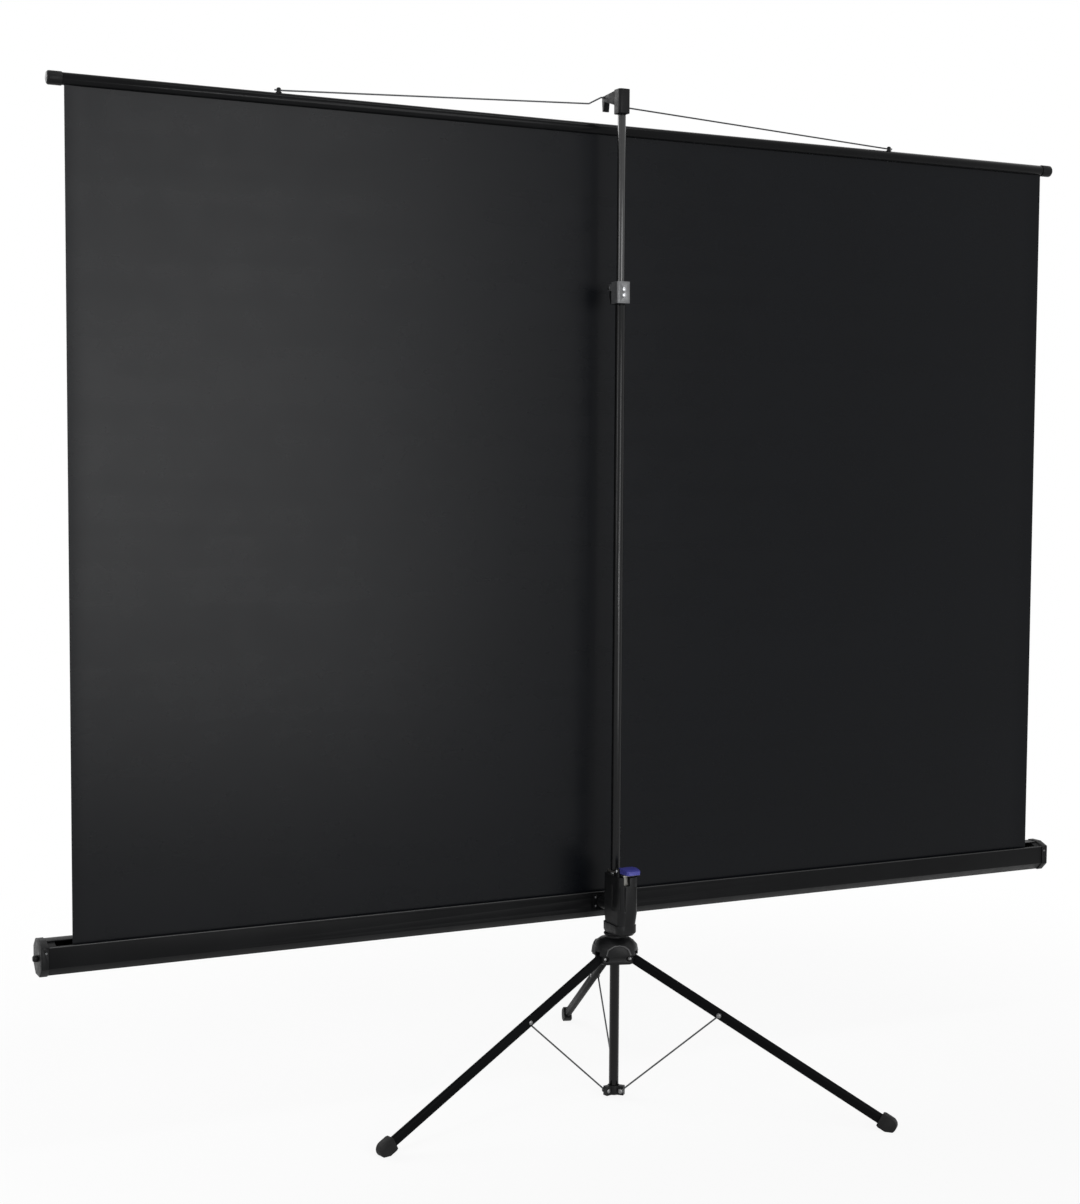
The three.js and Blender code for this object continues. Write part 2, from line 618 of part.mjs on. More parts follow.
function makeHead() {
  const top = HEAD_BOTTOM + HEAD_TALL;
  const plan = roundedRectangle(-HEAD_WIDE / 2, HEAD_WIDE / 2, -HEAD_DEEP / 2, HEAD_DEEP / 2, HEAD_CORNER);
  const block = prism(plan, HEAD_TALL).translate(0, 0, HEAD_BOTTOM);
  const tipTop = SADDLE_Z + 2 * WIRE_RADIUS;
  const tipBottom = tipTop - ARM_TIP_TALL;
  const root = HEAD_DEEP / 2 - ARM_OVERLAP;
  const prong = ARM_REACH - PRONG_DEEP;
  const arm = prismX(polygon([
    [root, top - ARM_ROOT_TALL], [prong - PRONG_FLARE, tipBottom], [prong, tipBottom - PRONG_DROP],
    [ARM_REACH - ARM_EDGE, tipBottom - PRONG_DROP], [ARM_REACH, tipBottom], [ARM_REACH, tipTop - ARM_EDGE],
    [ARM_REACH - ARM_EDGE, tipTop], [SADDLE_REACH - ARM_EDGE, tipTop], [root, top - ARM_EDGE],
  ]), ARM_WIDE).translate(ARM_X, 0, 0);
  const half = WIRE_RADIUS + GAP;
  const seat = alongX(rod(half, -HEAD_WIDE, HEAD_WIDE, PIN_SIDES)).translate(0, SADDLE_REACH, SADDLE_Z);
  const mouth = box(-HEAD_WIDE, HEAD_WIDE, SADDLE_REACH - half, SADDLE_REACH + half, SADDLE_Z, top);
  const bore = rod(EXTENSION_RADIUS + GAP, HEAD_BOTTOM - PAST, EXTENSION_TOP + GAP);
  return cut(join(block, arm), seat, mouth, bore);
}
place(assembly, "mast_head", makeHead(), "black_plastic");

const LEVER_AXIS_Y = LOCK_FRONT + LEVER_AXIS_OUT;
const LEVER_AXIS_Z = LOCK_Z + LOCK_TALL - LEVER_AXIS_DOWN;
const LOCK_LEVER_WIDE = LOCK_WIDE - 2 * LOCK_CHEEK;
const LOCK_POCKET_Z = COLUMN_TOP + LOCK_BELOW_TOP;
const LOCK_POCKET_TALL = 20;
const LOCK_SHOE_WIDE = 10;

function makeLockHousing() {
  const half = LOCK_WIDE / 2;
  const plan = roundedRectangle(-half, half, -LOCK_BACK, LOCK_FRONT, LOCK_CORNER);
  const block = prism(plan, LOCK_TALL).translate(0, 0, LOCK_Z);
  const earInside = LOCK_LEVER_WIDE / 2 + RUNNING;
  const ears = [[earInside, half], [-half, -earInside]].map(([from, to]) =>
    box(from, to, 0, LEVER_AXIS_Y + LOCK_EAR, LEVER_AXIS_Z - LOCK_EAR_HALF, LEVER_AXIS_Z + LOCK_EAR_HALF));
  const columnBore = rod(COLUMN_RADIUS + GAP, LOCK_Z - PAST, COLUMN_TOP + GAP);
  const extensionBore = rod(EXTENSION_RADIUS + RUNNING, LOCK_Z, LOCK_Z + LOCK_TALL + PAST);
  const pinHole = alongX(rod(PIN_RADIUS + GAP, -half - PAST, half + PAST, PIN_SIDES))
    .translate(0, LEVER_AXIS_Y, LEVER_AXIS_Z);
  const pocketHalf = LOCK_SHOE_WIDE / 2 + GAP;
  const pocket = box(-pocketHalf, pocketHalf, 0, LOCK_FRONT + PAST, LOCK_POCKET_Z - GAP,
    LOCK_POCKET_Z + LOCK_POCKET_TALL + GAP);
  const rivetHoles = [-0.5, 0.5].map((side) =>
    alongY(rod(PIN_RADIUS + GAP, -LOCK_BACK - PAST, RIVET_DEPTH + GAP - LOCK_BACK, PIN_SIDES))
      .translate(0, 0, LOCK_Z + LOCK_TALL / 2 + side * LOCK_RIVET_SPACING));
  return cut(join(block, ...ears), columnBore, extensionBore, pinHole, pocket, ...rivetHoles);
}
place(assembly, "lock_housing", makeLockHousing(), "lock_metal");

function makeLockLever() {
  const back = LOCK_FRONT + RUNNING - LEVER_AXIS_Y;
  const tip = LOCK_LEVER_SWELL - LOCK_LEVER_REACH;
  const shape = new THREE.Shape();
  shape.absarc(0, 0, LOCK_LEVER_BOSS, 0, Math.PI, false);
  shape.lineTo(back, tip);
  shape.absarc(back + LOCK_LEVER_TIP, tip, LOCK_LEVER_TIP, Math.PI, 2 * Math.PI, false);
  shape.lineTo(LOCK_LEVER_BOSS + LOCK_LEVER_SWELL, -LOCK_LEVER_REACH / 2);
  shape.closePath();
  const hole = alongX(rod(PIN_RADIUS + GAP, -LOCK_WIDE, LOCK_WIDE, PIN_SIDES));
  return cut(prismX(shape, LOCK_LEVER_WIDE), hole).translate(0, LEVER_AXIS_Y, LEVER_AXIS_Z);
}
place(assembly, "lock_lever", makeLockLever(), "black_plastic");
place(assembly, "lock_pin",
  alongX(rivet(PIN_RADIUS, PIN_HEAD_RADIUS, PIN_HEAD, -LOCK_WIDE / 2 - GAP, LOCK_WIDE / 2 + GAP))
    .translate(0, LEVER_AXIS_Y, LEVER_AXIS_Z), "zinc");
place(assembly, "lock_shoe",
  box(-LOCK_SHOE_WIDE / 2, LOCK_SHOE_WIDE / 2, EXTENSION_RADIUS + GAP, LOCK_FRONT, LOCK_POCKET_Z,
    LOCK_POCKET_Z + LOCK_POCKET_TALL), "zinc");
["upper", "lower"].forEach((level, i) => {
  const z = LOCK_Z + LOCK_TALL / 2 + (0.5 - i) * LOCK_RIVET_SPACING;
  const head = alongY(screw(PIN_RADIUS, PIN_HEAD_RADIUS, PIN_HEAD, RIVET_DEPTH)).rotateZ(Math.PI);
  place(assembly, `lock_rivet_${level}`, head.translate(0, -LOCK_BACK - GAP, z), "zinc");
});

// Carriage: swivel ring, grip, brake and squeeze lever
place(assembly, "swivel_ring", turned([
  [COLUMN_BORE, RING_Z], [RING_RADIUS - RING_EDGE, RING_Z], [RING_RADIUS, RING_Z + RING_EDGE],
  [RING_RADIUS, RING_Z + RING_TALL - RING_EDGE], [RING_RADIUS - RING_EDGE, RING_Z + RING_TALL],
  [COLUMN_BORE, RING_Z + RING_TALL], [COLUMN_BORE, RING_Z],
], HUB_SIDES), "black_plastic");

const CARRIAGE_HALF = CARRIAGE_WIDE / 2;
const FLANGE_TOP = CARRIAGE_Z + FLANGE_TALL;
const WEB_FRONT = CASE_BACK - GAP - BRACKET_HAT;
const WEB_BACK = WEB_FRONT - BRACKET_THICK;
const POST_X = LEVER_WIDE / 2 + RUNNING;
const LEVER_MID = LEVER_Z + LEVER_THICK / 2;
const BOLT_END = COLUMN_BORE + BOLT_SEAT;
const SPRING_INNER = COLUMN_BORE + BRAKE_SPRING_GAP;
const SPRING_OUTER = SPRING_INNER + BRAKE_SPRING_WALL;
const TONGUE_RIGHT = TONGUE_LEFT + TONGUE_WIDE;
const TONGUE_FRONT = TONGUE_BACK - BRAKE_PLATE;

function makeGripBody() {
  const outline = roundedRectangle(-CARRIAGE_HALF, CARRIAGE_HALF, -CARRIAGE_BACK, CARRIAGE_FRONT,
    CARRIAGE_REAR_CORNER, CARRIAGE_FRONT_CORNER);
  const flangeHalf = CARRIAGE_HALF + FLANGE_PROUD;
  const flange = roundedRectangle(-flangeHalf, flangeHalf, -FLANGE_BACK, CARRIAGE_FRONT + FLANGE_PROUD,
    CARRIAGE_REAR_CORNER, CARRIAGE_FRONT_CORNER);
  return join(
    drawnIn(flange, FLANGE_EDGE, FLANGE_DRAWN_IN).translate(0, 0, CARRIAGE_Z),
    prism(flange, FLANGE_TALL - FLANGE_EDGE).translate(0, 0, CARRIAGE_Z + FLANGE_EDGE),
    drawnIn(outline, CARRIAGE_TAPER, CARRIAGE_DRAWN_IN).translate(0, 0, FLANGE_TOP),
    prism(outline, CARRIAGE_TALL - FLANGE_TALL - CARRIAGE_TAPER).translate(0, 0, FLANGE_TOP + CARRIAGE_TAPER),
  );
}

function makeGrooves() {
  const centreX = CARRIAGE_HALF - CARRIAGE_REAR_CORNER;
  const centreY = CARRIAGE_BACK - CARRIAGE_REAR_CORNER;
  const places = [[CARRIAGE_HALF, GROOVE_SIDE], ...GROOVE_TURNS.map((turn) => [
    centreX + CARRIAGE_REAR_CORNER * Math.cos(turn), centreY + CARRIAGE_REAR_CORNER * Math.sin(turn),
  ])];
  const from = FLANGE_TOP + CARRIAGE_TAPER + GROOVE_BELOW;
  return [-1, 1].flatMap((side) => places.map(([x, back]) =>
    rod(GROOVE_RADIUS, from, CARRIAGE_TOP - GROOVE_ABOVE, PIN_SIDES).translate(side * x, -back, 0)));
}

function makeCarriage() {
  const boss = alongY(rod(BOSS_RADIUS, 0, WEB_BACK - GAP)).translate(0, 0, BRACKET_Z);
  const posts = [[POST_X, POST_X + LEVER_POST], [-POST_X - LEVER_POST, -POST_X]].map(([from, to]) =>
    box(from, to, -LEVER_PIVOT - LEVER_POST_HALF, -LEVER_PIVOT + LEVER_POST_HALF,
      CARRIAGE_TOP - LEVER_POST_ROOT, LEVER_MID + LEVER_POST_HALF));
  const bore = rod(COLUMN_BORE, CARRIAGE_Z - PAST, CARRIAGE_TOP + PAST);
  const springSeat = rod(SPRING_OUTER + GAP, CARRIAGE_TOP - BRAKE_SPRING_SEAT, CARRIAGE_TOP + PAST);
  const boltHole = alongY(rod(BOLT_RADIUS + GAP, BOLT_END - GAP, CASE_BACK, EYE_SIDES))
    .translate(0, 0, BRACKET_Z);
  const pinHole = alongX(rod(LEVER_PIN_RADIUS + GAP, -CARRIAGE_WIDE, CARRIAGE_WIDE, PIN_SIDES))
    .translate(0, -LEVER_PIVOT, LEVER_MID);
  const notch = box(TONGUE_LEFT - TONGUE_ROOM, TONGUE_RIGHT + TONGUE_ROOM, -CARRIAGE_BACK - PAST,
    TONGUE_ROOM - TONGUE_FRONT, CARRIAGE_TOP - TONGUE_DROP - TONGUE_ROOM, CARRIAGE_TOP + PAST);
  const body = join(makeGripBody(), boss, ...posts);
  return cut(body, bore, springSeat, boltHole, pinHole, notch, ...makeGrooves());
}
place(assembly, "carriage_grip", makeCarriage(), "black_plastic");

const boltShank = WEB_FRONT + GAP;
place(assembly, "pivot_bolt", alongY(turned([
  [0, BOLT_END], [BOLT_RADIUS, BOLT_END], [BOLT_RADIUS, boltShank], [BOLT_RADIUS + BOLT_HEAD, boltShank],
  [BOLT_RADIUS + BOLT_HEAD, boltShank + BOLT_HEAD], [0, boltShank + BOLT_HEAD],
], EYE_SIDES)).translate(0, 0, BRACKET_Z), "zinc");

function makeBrakePlate() {
  const half = BRAKE_WIDE / 2;
  const plan = roundedRectangle(-half, half, -BRAKE_BACK, BRAKE_FRONT, BRAKE_CORNER);
  const plate = prism(plan, BRAKE_PLATE).translate(0, 0, BRAKE_Z);
  const tongue = box(TONGUE_LEFT, TONGUE_RIGHT, -TONGUE_BACK, -TONGUE_FRONT, CARRIAGE_TOP - TONGUE_DROP,
    BRAKE_Z + BRAKE_PLATE);
  return cut(join(plate, tongue), rod(COLUMN_BORE, BRAKE_Z - PAST, BRAKE_Z + BRAKE_PLATE + PAST));
}
place(assembly, "brake_plate", makeBrakePlate(), "zinc");
place(assembly, "brake_spring",
  tube(SPRING_OUTER, SPRING_INNER, CARRIAGE_TOP - BRAKE_SPRING_SEAT + GAP, BRAKE_Z - GAP), "zinc");

function makeReleaseLever() {
  const front = LEVER_NOSE - LEVER_PIVOT;
  const rear = -LEVER_REACH;
  const half = LEVER_WIDE / 2;
  const top = LEVER_Z + LEVER_THICK;
  const shape = new THREE.Shape();
  shape.moveTo(front, LEVER_Z + LEVER_EDGE);
  shape.lineTo(front, top);
  shape.quadraticCurveTo((front + rear) / 2, top + LEVER_CROWN, rear + LEVER_LIP, top - LEVER_EDGE);
  shape.quadraticCurveTo(rear, top - 2 * LEVER_EDGE, rear, LEVER_Z + LEVER_EDGE);
  shape.lineTo(rear + 2 * LEVER_EDGE, LEVER_Z);
  shape.lineTo(front - LEVER_EDGE, LEVER_Z);
  shape.closePath();
  const plan = roundedRectangle(-half, half, rear - LEVER_EDGE, front + LEVER_EDGE, LEVER_CORNER, LEVER_EDGE);
  const outline = prism(plan, 2 * LEVER_THICK).translate(0, 0, LEVER_Z - LEVER_EDGE);
  const hole = alongX(rod(LEVER_PIN_RADIUS + GAP, -LEVER_WIDE, LEVER_WIDE, PIN_SIDES))
    .translate(0, -LEVER_PIVOT, LEVER_MID);
  return cut(common(prismX(shape, LEVER_WIDE), outline), hole);
}
place(assembly, "release_lever", makeReleaseLever(), "blue_plastic");
const pinEnd = POST_X + LEVER_POST + GAP;
const pinHead = LEVER_PIN_RADIUS + LEVER_PIN_HEAD;
place(assembly, "lever_pin",
  alongX(rivet(LEVER_PIN_RADIUS, pinHead, LEVER_PIN_HEAD, -pinEnd, pinEnd))
    .translate(0, -LEVER_PIVOT, LEVER_MID), "zinc");

// Case: bracket, shell, caps, roller and what is wound on it
const flange = BRACKET_WIDE / 2;
const webOutside = WEB_HALF + BRACKET_THICK;
const bracketFace = CASE_BACK - GAP;
const bracketRear = bracketFace - BRACKET_THICK;
const hat = polygon([
  [-flange, bracketFace], [-flange, bracketRear], [-webOutside, bracketRear], [-webOutside, WEB_BACK],
  [webOutside, WEB_BACK], [webOutside, bracketRear], [flange, bracketRear], [flange, bracketFace],
  [WEB_HALF, bracketFace], [WEB_HALF, WEB_FRONT], [-WEB_HALF, WEB_FRONT], [-WEB_HALF, bracketFace],
]);
const screwPlaces = [];
for (const [across, x] of [["left", -BRACKET_SCREW_X], ["right", BRACKET_SCREW_X]]) {
  for (const [level, z] of [["upper", BRACKET_SCREW_Z], ["lower", -BRACKET_SCREW_Z]]) {
    screwPlaces.push({ name: `bracket_screw_${across}_${level}`, x, z: BRACKET_Z + z });
  }
}
const screwHoles = screwPlaces.map(({ x, z }) =>
  alongY(rod(SCREW_RADIUS + GAP, 0, CASE_Y, PIN_SIDES)).translate(x, 0, z));
place(assembly, "case_bracket", cut(
  prism(hat, BRACKET_TALL).translate(0, 0, BRACKET_Z - BRACKET_TALL / 2),
  ...screwHoles,
  alongY(rod(BOLT_RADIUS + RUNNING, 0, CASE_Y, EYE_SIDES)).translate(0, 0, BRACKET_Z),
), "black_paint");
const bracketScrewDepth = BRACKET_THICK + CASE_WALL + 2 * GAP;
for (const { name, x, z } of screwPlaces) {
  const head = alongY(screw(SCREW_RADIUS, SCREW_HEAD, SCREW_HEAD_TALL, bracketScrewDepth)).rotateZ(Math.PI);
  place(assembly, name, head.translate(x, bracketRear - GAP, z), "lock_metal");
}

// Section about the case's axis, counter-clockwise: the top slopes down to the rear, where the slot is
const CASE_SECTION = [
  [CASE_DEEP / 2 - CASE_CHAMFER, CASE_TALL / 2], [CASE_ROOF - CASE_DEEP / 2, CASE_TALL / 2],
  [-CASE_DEEP / 2, CASE_TALL / 2 - CASE_ROOF_DROP], [-CASE_DEEP / 2, CASE_CHAMFER - CASE_TALL / 2],
  [CASE_CHAMFER - CASE_DEEP / 2, -CASE_TALL / 2], [CASE_DEEP / 2 - CASE_CHAMFER, -CASE_TALL / 2],
  [CASE_DEEP / 2, CASE_CHAMFER - CASE_TALL / 2], [CASE_DEEP / 2, CASE_TALL / 2 - CASE_CHAMFER],
];

function makeCaseShell() {
  const section = polygon(CASE_SECTION);
  section.holes.push(polygon(shrunk(CASE_SECTION, CASE_WALL)));
  const shell = prismX(section, CASE_LENGTH).translate(CASE_OFFSET_X, CASE_Y, CASE_Z);
  const slot = box(-CASE_LENGTH, CASE_LENGTH, SLOT_Y - SLOT_BEHIND, SLOT_Y + SLOT_AHEAD, CASE_Z,
    CASE_Z + CASE_TALL);
  return cut(shell, slot, ...screwHoles);
}
place(assembly, "case_shell", makeCaseShell(), "black_paint");

const CAP_FACE = CASE_LENGTH / 2 + GAP;
const axleHole = () => alongX(rod(AXLE_RADIUS + GAP, -2 * CAP_FACE, 2 * CAP_FACE, EYE_SIDES))
  .translate(0, ROLLER_OFFSET, 0);
const capScrewX = CAP_FACE + CAP_LENGTH - CAP_SCREW_IN;
const capScrewY = -CASE_DEEP / 2 - CAP_LIP;

function makeEndCap(side) {
  const cover = prismX(polygon(shrunk(CASE_SECTION, -CAP_LIP)), CAP_LENGTH)
    .translate(side * (CAP_FACE + CAP_LENGTH / 2), 0, 0);
  const plug = prismX(polygon(shrunk(CASE_SECTION, CASE_WALL + GAP)), CAP_PLUG + CAP_OVERLAP)
    .translate(side * (CAP_FACE + (CAP_OVERLAP - CAP_PLUG) / 2), 0, 0);
  const screwEnd = capScrewY + CAP_SCREW_DEPTH + GAP;
  const screwHole = alongY(rod(SCREW_RADIUS + GAP, capScrewY - PAST, screwEnd, PIN_SIDES))
    .translate(side * capScrewX, 0, CAP_SCREW_UP);
  return cut(join(cover, plug), axleHole(), screwHole).translate(CASE_OFFSET_X, CASE_Y, CASE_Z);
}

const ROLLER_END = CAP_FACE - CAP_PLUG - ROLLER_SHAKE;
const ROLLER_INNER = ROLLER_RADIUS - ROLLER_WALL;
const capOutside = CAP_FACE + CAP_LENGTH;
for (const [name, side] of [["left", -1], ["right", 1]]) {
  const atEnd = (geometry) => (side < 0 ? geometry.rotateZ(Math.PI) : geometry)
    .translate(CASE_OFFSET_X, ROLLER_Y, CASE_Z);
  place(assembly, `end_cap_${name}`, makeEndCap(side), "black_plastic");
  place(assembly, `roller_axle_${name}`, atEnd(alongX(turned([
    [0, ROLLER_END - PLUG_LENGTH], [AXLE_RADIUS, ROLLER_END - PLUG_LENGTH], [AXLE_RADIUS, capOutside + GAP],
    [KNOB_RADIUS, capOutside + GAP], [KNOB_RADIUS, capOutside + KNOB_PROUD - KNOB_EDGE],
    [KNOB_RADIUS - KNOB_EDGE, capOutside + KNOB_PROUD], [0, capOutside + KNOB_PROUD],
  ], EYE_SIDES))), "black_plastic");
  place(assembly, `roller_plug_${name}`, atEnd(alongX(tube(ROLLER_INNER - GAP, AXLE_RADIUS + RUNNING,
    ROLLER_END - PLUG_LENGTH, ROLLER_END))), "black_plastic");
  const head = alongY(screw(SCREW_RADIUS, SCREW_HEAD, SCREW_HEAD_TALL, CAP_SCREW_DEPTH)).rotateZ(Math.PI);
  place(assembly, `cap_screw_${name}`,
    head.translate(CASE_OFFSET_X + side * capScrewX, CASE_Y + capScrewY - GAP, CASE_Z + CAP_SCREW_UP),
    "lock_metal");
}
const aboutRoller = (geometry) => alongX(geometry).translate(CASE_OFFSET_X, ROLLER_Y, CASE_Z);
place(assembly, "roller_tube",
  aboutRoller(tube(ROLLER_RADIUS, ROLLER_INNER, -ROLLER_END, ROLLER_END)), "zinc");
place(assembly, "fabric_roll",
  aboutRoller(tube(ROLL_RADIUS, ROLLER_RADIUS + GAP, -ROLL_LENGTH / 2, ROLL_LENGTH / 2)), "fabric_black");
const springEnd = ROLLER_END - PLUG_LENGTH - GAP;
place(assembly, "roller_spring",
  aboutRoller(tube(SPRING_RADIUS, SPRING_RADIUS - SPRING_WALL, -springEnd, SPRING_LENGTH - springEnd)),
  "zinc");

// Screen: fabric, top bar and wire bail
function makeFabric() {
  const half = FABRIC_WIDE / 2;
  const straight = half - FABRIC_CURL_WIDE;
  const edge = [0, 0.4, 0.7, 1].map((t) => [straight + t * FABRIC_CURL_WIDE, -FABRIC_CURL * t * t]);
  const rear = [...edge.map(([x, y]) => [-x, y]).reverse(), ...edge];
  const front = rear.map(([x, y]) => [x, y + FABRIC_THICK]).reverse();
  const tall = BAR_Z - BAR_RADIUS - GAP - CASE_Z;
  return prism(polygon([...rear, ...front]), tall)
    .translate(CASE_OFFSET_X, FABRIC_Y - FABRIC_THICK / 2, CASE_Z);
}
place(assembly, "fabric", makeFabric(), "fabric_black");

const aboutBar = (geometry) => alongX(geometry).translate(CASE_OFFSET_X, FABRIC_Y, BAR_Z);
place(assembly, "top_bar", aboutBar(tube(BAR_RADIUS, BAR_RADIUS - BAR_WALL, -BAR_LENGTH / 2, BAR_LENGTH / 2)),
  "black_paint");

const BAIL_RISE = new THREE.Vector3(0, SADDLE_REACH - FABRIC_Y, SADDLE_Z - BAIL_AXIS_Z);
const BAIL_HEIGHT = BAIL_RISE.length();
BAIL_RISE.normalize();

function makeEyelet(x) {
  const post = turned([
    [0, 0], [EYELET_RADIUS + EYELET_EDGE, 0], [EYELET_RADIUS + EYELET_EDGE, EYELET_FLANGE],
    [EYELET_RADIUS, EYELET_FLANGE + GAP], [EYELET_RADIUS, EYELET_TALL - EYELET_EDGE],
    [EYELET_RADIUS - EYELET_EDGE, EYELET_TALL], [0, EYELET_TALL],
  ], EYE_SIDES);
  const hole = alongX(rod(WIRE_RADIUS + GAP, -2 * EYELET_RADIUS, 2 * EYELET_RADIUS, PIN_SIDES))
    .translate(0, 0, EYELET_TALL / 2);
  return cut(post, hole).translate(x, FABRIC_Y, EYELET_Z);
}

function makeBail() {
  const past = 2 * EYELET_RADIUS;
  const left = BAIL_X - EYELET_X;
  const right = BAIL_X + EYELET_X;
  const kink = BAIL_HEIGHT - BAIL_HUMP_TALL;
  const outline = [
    [left - past, 0], [left + past, 0], [ARM_X - BAIL_KINK_WIDE / 2, kink],
    [ARM_X - BAIL_HUMP_WIDE / 2, BAIL_HEIGHT], [ARM_X + BAIL_HUMP_WIDE / 2, BAIL_HEIGHT],
    [ARM_X + BAIL_KINK_WIDE / 2, kink], [right - past, 0], [right + past, 0],
  ];
  const start = new THREE.Vector3(0, FABRIC_Y, BAIL_AXIS_Z);
  const points = outline.map(([x, h]) => start.clone().addScaledVector(X, x).addScaledVector(BAIL_RISE, h));
  return wire(points, WIRE_RADIUS, PIN_SIDES, new THREE.Vector3().crossVectors(X, BAIL_RISE));
}
place(assembly, "bail", makeBail(), "wire");

for (const [name, side] of [["left", -1], ["right", 1]]) {
  const seat = BAR_LENGTH / 2 + GAP;
  const cap = turned([
    [0, seat - GAP - BAR_CAP_PLUG], [BAR_RADIUS - BAR_WALL - GAP, seat - GAP - BAR_CAP_PLUG],
    [BAR_RADIUS - BAR_WALL - GAP, seat], [BAR_CAP_RADIUS, seat],
    [BAR_CAP_RADIUS, seat + BAR_CAP_LENGTH - BAR_CAP_EDGE],
    [BAR_CAP_RADIUS - BAR_CAP_EDGE, seat + BAR_CAP_LENGTH], [0, seat + BAR_CAP_LENGTH],
  ]);
  const turnedCap = side < 0 ? alongX(cap).rotateZ(Math.PI) : alongX(cap);
  place(assembly, `bar_cap_${name}`, turnedCap.translate(CASE_OFFSET_X, FABRIC_Y, BAR_Z), "black_plastic");
  place(assembly, `eyelet_${name}`, makeEyelet(BAIL_X + side * EYELET_X), "black_plastic");
}

// The floor plan is centred on the origin
const plan = new THREE.Box3().setFromObject(assembly);
assembly.position.set(-(plan.min.x + plan.max.x) / 2, -(plan.min.y + plan.max.y) / 2, 0);
const screen = new THREE.Group();
screen.add(assembly);
screen.updateMatrixWorld(true);

export default screen;
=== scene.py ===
import json
import math

import bmesh
import bpy
from mathutils import Matrix, Vector


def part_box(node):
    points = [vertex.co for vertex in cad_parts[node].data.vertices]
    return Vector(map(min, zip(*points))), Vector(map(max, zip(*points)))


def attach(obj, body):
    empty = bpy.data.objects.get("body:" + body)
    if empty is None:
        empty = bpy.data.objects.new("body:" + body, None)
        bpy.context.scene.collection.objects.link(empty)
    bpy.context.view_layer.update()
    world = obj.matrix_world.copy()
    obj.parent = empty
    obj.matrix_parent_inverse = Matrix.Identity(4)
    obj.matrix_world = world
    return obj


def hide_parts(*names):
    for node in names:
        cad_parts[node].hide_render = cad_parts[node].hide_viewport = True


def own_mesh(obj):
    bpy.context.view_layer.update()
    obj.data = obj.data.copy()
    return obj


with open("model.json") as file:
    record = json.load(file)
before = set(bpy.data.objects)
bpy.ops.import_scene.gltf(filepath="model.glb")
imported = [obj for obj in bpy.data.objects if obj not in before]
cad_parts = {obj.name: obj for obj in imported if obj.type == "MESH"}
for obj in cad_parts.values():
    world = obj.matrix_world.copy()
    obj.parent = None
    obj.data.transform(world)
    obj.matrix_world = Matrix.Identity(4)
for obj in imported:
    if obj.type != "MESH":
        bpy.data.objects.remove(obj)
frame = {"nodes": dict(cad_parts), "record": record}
NODES = frame["nodes"]
BODIES = frame["record"]["behaviour"]["bodies"]
BODY_OF = {node: body for body, members in BODIES.items() for node in members}
SLOT_OF = {entry["node"]: entry["material_slot"] for entry in frame["record"]["subparts"]}
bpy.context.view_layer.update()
SIDES = ("front", "right", "left")

# Photograph's camera, in metres, degrees and pixels of the 1080 x 1204 frame
FRAME_WIDE = 1080
CAMERA_PLACE = Vector((-1.8316, -3.3565, 1.2164))
CAMERA_YAW = -26.551
CAMERA_PITCH = 3.797
CAMERA_ROLL = 0.336
FOCAL_PIXELS = 1962.7
SENSOR_MM = 36.0


# Materials
# Most of a noise texture's values lie between these two.
NOISE_LOW, NOISE_HIGH = 0.3, 0.7


class Surface:
    """A principled material with named helper nodes."""

    def __init__(self, name, colour, roughness, metallic=0.0, specular=0.5):
        self.material = bpy.data.materials.new(name)
        self.material.use_nodes = True
        self.tree = self.material.node_tree
        self.shader = self.tree.nodes["Principled BSDF"]
        self.shader.inputs["Metallic"].default_value = metallic
        self.shader.inputs["Roughness"].default_value = roughness
        self.shader.inputs["Specular IOR Level"].default_value = specular
        self.shader.inputs["Base Color"].default_value = (*colour, 1.0)
        self.place = self.node("ShaderNodeTexCoord").outputs["Object"]

    def node(self, kind, **settings):
        made = self.tree.nodes.new(kind)
        for key, value in settings.items():
            setattr(made, key, value)
        return made

    def link(self, source, target):
        self.tree.links.new(source, target)

    def noise(self, scale, detail=3.0, stretch=(1.0, 1.0, 1.0)):
        mapping = self.node("ShaderNodeMapping")
        mapping.inputs["Scale"].default_value = stretch
        self.link(self.place, mapping.inputs["Vector"])
        noise = self.node("ShaderNodeTexNoise")
        noise.inputs["Scale"].default_value = scale
        noise.inputs["Detail"].default_value = detail
        self.link(mapping.outputs["Vector"], noise.inputs["Vector"])
        return noise.outputs["Fac"]

    def colour_from(self, factor, colour, dark, light, end=NOISE_HIGH):
        """The base colour goes from dark times colour to light times colour with the factor."""
        ramp = self.node("ShaderNodeValToRGB")
        stops = ((NOISE_LOW, dark), (end, light))
        for element, (position, share) in zip(ramp.color_ramp.elements, stops):
            element.position = position
            element.color = (*(channel * share for channel in colour), 1.0)
        self.link(factor, ramp.inputs["Fac"])
        self.link(ramp.outputs["Color"], self.shader.inputs["Base Color"])

    def roughness_from(self, factor, low, high):
        spread = self.node("ShaderNodeMapRange")
        spread.inputs["From Min"].default_value = NOISE_LOW
        spread.inputs["From Max"].default_value = NOISE_HIGH
        spread.inputs["To Min"].default_value = low
        spread.inputs["To Max"].default_value = high
        self.link(factor, spread.inputs["Value"])
        self.link(spread.outputs["Result"], self.shader.inputs["Roughness"])

    def mean(self, first, second):
        made = self.node("ShaderNodeMath", operation="ADD")
        self.link(first, made.inputs[0])
        self.link(second, made.inputs[1])
        half = self.node("ShaderNodeMath", operation="MULTIPLY")
        half.inputs[1].default_value = 0.5
        self.link(made.outputs["Value"], half.inputs[0])
        return half.outputs["Value"]

    def bump(self, height, strength, distance):
        bump = self.node("ShaderNodeBump")
        bump.inputs["Strength"].default_value = strength
        bump.inputs["Distance"].default_value = distance
        self.link(height, bump.inputs["Height"])
        self.link(bump.outputs["Normal"], self.shader.inputs["Normal"])


